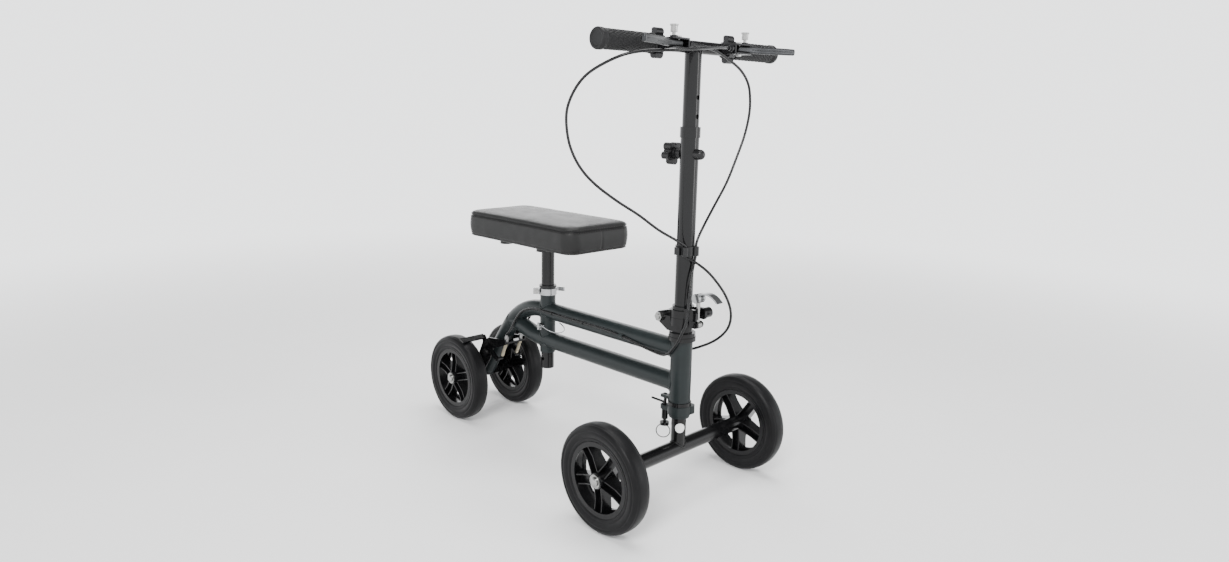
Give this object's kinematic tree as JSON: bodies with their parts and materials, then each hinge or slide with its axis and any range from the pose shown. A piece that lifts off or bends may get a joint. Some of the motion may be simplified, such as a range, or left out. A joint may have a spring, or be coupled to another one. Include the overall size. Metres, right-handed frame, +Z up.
{
  "type": "knee scooter",
  "caption": "Four-wheeled steerable knee scooter with a padded knee rest, folding height-adjustable stem, hand brake levers and cable-operated rear tyre brakes",
  "frame": {"origin": "on the ground under the middle of the wheelbase, on the centre plane", "axes": "+X forward, +Y to the rider's left, +Z up"},
  "size_m": [0.83, 0.468, 0.8805],
  "materials": {
    "frame_paint": "satin charcoal powder coat",
    "gloss_black": "gloss black paint",
    "tyre_rubber": "satin black solid rubber",
    "rim_plastic": "gloss moulded black",
    "grip_rubber": "matte knurled rubber",
    "cable_jacket": "smooth black cable jacket",
    "black_plastic": "moulded black nylon",
    "pad_vinyl": "upholstered vinyl with seams",
    "spring_steel": "plated wire",
    "lever_metal": "dark grey cast with bright edges",
    "bright_metal": "bright plated",
    "zinc": "zinc plated"
  },
  "bodies": {
    "frame": {"head_tube": "frame_paint", "top_tube": "frame_paint", "bottom_tube": "frame_paint", "seat_tube": "frame_paint", "rear_axle": "gloss_black", "headset_cups": "gloss_black", "seat_bush": "black_plastic", "seat_clamp_band": "bright_metal", "seat_clamp_bolt": "zinc", "cable_stops": "zinc", "brake_springs": "spring_steel", "frame_cables": "cable_jacket", "rear_wheel_bolts": "zinc", "rear_bearings": "zinc"},
    "steer": {"fork": "gloss_black", "lower_collar": "frame_paint", "steering_lock_barrel": "gloss_black", "hinge_base": "gloss_black", "fold_pivot_bolt": "zinc", "front_wheel_bolts": "zinc", "front_bearings": "zinc", "cable_left_neck": "cable_jacket", "cable_right_neck": "cable_jacket"},
    "stem": {"hinge_top": "gloss_black", "stem_tube": "gloss_black", "stem_collar": "gloss_black", "cable_guide": "black_plastic", "height_nut": "black_plastic"},
    "latch": {"latch_eyebolt": "zinc"},
    "latch_cam": {"latch_lever": "bright_metal"},
    "knob": {"height_knob": "black_plastic"},
    "lock": {"steering_lock_plunger": "gloss_black"},
    "bars": {"handlebar": "gloss_black", "grip_left": "grip_rubber", "grip_right": "grip_rubber", "brake_bracket_left": "lever_metal", "brake_bracket_right": "lever_metal", "lever_pivot_bolts": "zinc", "cable_left_bar": "cable_jacket", "cable_right_bar": "cable_jacket"},
    "lever_left": {"brake_lever_left": "lever_metal"},
    "lever_right": {"brake_lever_right": "lever_metal"},
    "park_left": {"parking_pin_left": "zinc"},
    "park_right": {"parking_pin_right": "zinc"},
    "seat": {"seat_post": "gloss_black", "seat_plate": "gloss_black", "seat_pad": "pad_vinyl"},
    "seat_qr": {"seat_clamp_lever": "bright_metal"},
    "seat_pin": {"seat_lock_pin": "bright_metal"},
    "seat_bail": {"seat_pin_bail": "bright_metal"},
    "arm_left": {"brake_arm_left": "gloss_black"},
    "arm_right": {"brake_arm_right": "gloss_black"},
    "wheel_front_left": {"tyre_front_left": "tyre_rubber", "rim_front_left": "rim_plastic"},
    "wheel_front_right": {"tyre_front_right": "tyre_rubber", "rim_front_right": "rim_plastic"},
    "wheel_rear_left": {"tyre_rear_left": "tyre_rubber", "rim_rear_left": "rim_plastic"},
    "wheel_rear_right": {"tyre_rear_right": "tyre_rubber", "rim_rear_right": "rim_plastic"}
  },
  "joints": [
    {"name": "steer_turn", "type": "hinge", "parent": "frame", "child": "steer", "pos_m": [0.3135, 0, 0.25], "axis": [0, 0, 1], "range_deg": [-40, 40], "deforming": ["cable_left_neck", "cable_right_neck"]},
    {"name": "stem_fold", "type": "hinge", "parent": "steer", "child": "stem", "pos_m": [0.2735, 0, 0.36], "axis": [0, -1, 0], "range_deg": [0, 47], "deforming": ["cable_left_neck", "cable_right_neck", "cable_left_bar", "cable_right_bar"]},
    {"name": "latch_swing", "type": "hinge", "parent": "steer", "child": "latch", "pos_m": [0.3495, 0, 0.3555], "axis": [0, 1, 0], "range_deg": [0, 75]},
    {"name": "latch_cam_turn", "type": "hinge", "parent": "latch", "child": "latch_cam", "pos_m": [0.3495, 0, 0.406], "axis": [0, -1, 0], "range_deg": [0, 85]},
    {"name": "height_knob_turn", "type": "hinge", "parent": "stem", "child": "knob", "pos_m": [0.2735, 0, 0.666], "axis": [1, 0, 0], "range_deg": [0, 720]},
    {"name": "bar_height", "type": "slide", "parent": "stem", "child": "bars", "axis": [0, 0, 1], "range_m": [-0.099, 0.066], "deforming": ["cable_left_bar", "cable_right_bar"]},
    {"name": "seat_height", "type": "slide", "parent": "frame", "child": "seat", "axis": [0, 0, 1], "range_m": [-0.06, 0.03]},
    {"name": "seat_clamp_turn", "type": "hinge", "parent": "frame", "child": "seat_qr", "pos_m": [-0.10694, -0.00863, 0.343], "axis": [0, 0, 1], "range_deg": [0, 120]},
    {"name": "seat_pin_pull", "type": "slide", "parent": "frame", "child": "seat_pin", "axis": [0, -1, 0], "range_m": [0, 0.03]},
    {"name": "seat_bail_turn", "type": "hinge", "parent": "seat_pin", "child": "seat_bail", "pos_m": [-0.0795, -0.0265, 0.265], "axis": [0, 0, -1], "range_deg": [0, 120]},
    {"name": "steering_lock_pull", "type": "slide", "parent": "steer", "child": "lock", "axis": [0, 0, 1], "range_m": [0, 0.006], "stiffness_N_per_m": 400},
    {"name": "brake_lever_left_pull", "type": "hinge", "parent": "bars", "child": "lever_left", "pos_m": [0.3495, 0.082, 0.851], "axis": [0, 0, 1], "range_deg": [0, 22], "stiffness_Nm_per_rad": 1.5, "deforming": ["cable_left_bar", "cable_right_bar"]},
    {"name": "brake_lever_right_pull", "type": "hinge", "parent": "bars", "child": "lever_right", "pos_m": [0.3495, -0.082, 0.851], "axis": [0, 0, -1], "range_deg": [0, 22], "stiffness_Nm_per_rad": 1.5, "deforming": ["cable_left_bar", "cable_right_bar"]},
    {"name": "parking_pin_left_press", "type": "slide", "parent": "bars", "child": "park_left", "axis": [0, 0, -1], "range_m": [0, 0.004], "stiffness_N_per_m": 300},
    {"name": "parking_pin_right_press", "type": "slide", "parent": "bars", "child": "park_right", "axis": [0, 0, -1], "range_m": [0, 0.004], "stiffness_N_per_m": 300},
    {"name": "brake_arm_left_press", "type": "hinge", "parent": "frame", "child": "arm_left", "pos_m": [-0.268, 0.03, 0.18], "axis": [0, -1, 0], "range_deg": [0, 5], "deforming": ["brake_springs"]},
    {"name": "brake_arm_right_press", "type": "hinge", "parent": "frame", "child": "arm_right", "pos_m": [-0.268, -0.03, 0.18], "axis": [0, -1, 0], "range_deg": [0, 5], "deforming": ["brake_springs"]},
    {"name": "wheel_front_left_spin", "type": "hinge", "parent": "steer", "child": "wheel_front_left", "pos_m": [0.3135, 0.2, 0.1015], "axis": [0, 1, 0], "continuous": true},
    {"name": "wheel_front_right_spin", "type": "hinge", "parent": "steer", "child": "wheel_front_right", "pos_m": [0.3135, -0.2, 0.1015], "axis": [0, 1, 0], "continuous": true},
    {"name": "wheel_rear_left_spin", "type": "hinge", "parent": "frame", "child": "wheel_rear_left", "pos_m": [-0.3135, 0.083, 0.1015], "axis": [0, 1, 0], "continuous": true},
    {"name": "wheel_rear_right_spin", "type": "hinge", "parent": "frame", "child": "wheel_rear_right", "pos_m": [-0.3135, -0.083, 0.1015], "axis": [0, 1, 0], "continuous": true}
  ],
  "couplings": [
    {"joint": "seat_bail_turn", "follows": "seat_pin_pull", "rad_per_m": 69.8},
    {"joint": "brake_arm_left_press", "follows": "brake_lever_left_pull", "ratio": 0.2},
    {"joint": "brake_arm_right_press", "follows": "brake_lever_right_pull", "ratio": 0.2}
  ]
}
